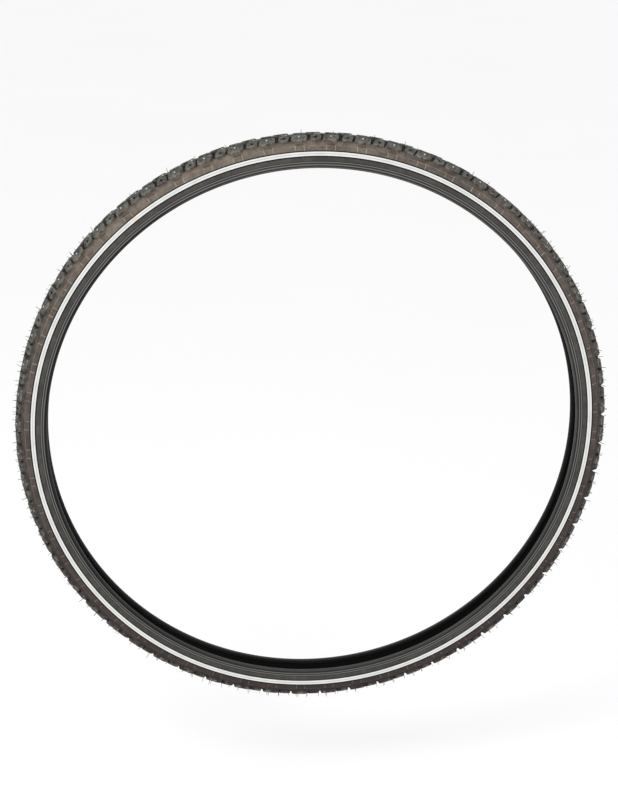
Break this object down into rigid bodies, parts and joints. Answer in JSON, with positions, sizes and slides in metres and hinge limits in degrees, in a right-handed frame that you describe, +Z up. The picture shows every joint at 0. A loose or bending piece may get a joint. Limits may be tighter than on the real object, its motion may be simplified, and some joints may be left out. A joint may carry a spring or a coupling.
{
  "type": "bicycle tyre",
  "caption": "Studded winter bicycle tyre with wired beads, blocky tread and a pale reflective stripe on each sidewall.",
  "frame": {"origin": "the centre of the wheel, on the tyre's middle plane", "axes": "+Y along the wheel's axis, away from the near side; +Z up as the tyre stands on a bicycle; +X across"},
  "size_m": [0.696, 0.0342, 0.696],
  "materials": {
    "tread": "matt moulded winter rubber, dusty",
    "sidewall": "matt moulded rubber with brown dust",
    "casing": "rubber-coated nylon plies",
    "belt": "soft natural rubber, hidden",
    "stripe": "pale reflective film",
    "bead_wire": "bronze-plated steel wire, hidden",
    "chafer": "smooth hard rubber",
    "stud": "worn bare steel"
  },
  "bodies": {
    "root": {"tread": "tread", "casing": "casing", "puncture_belt": "belt", "sidewall_near": "sidewall", "sidewall_far": "sidewall", "reflective_stripe_near": "stripe", "reflective_stripe_far": "stripe", "bead_core_near": "bead_wire", "bead_core_far": "bead_wire", "bead_chafer_near": "chafer", "bead_chafer_far": "chafer", "stud_row_near": "stud", "stud_row_far": "stud"}
  },
  "joints": []
}
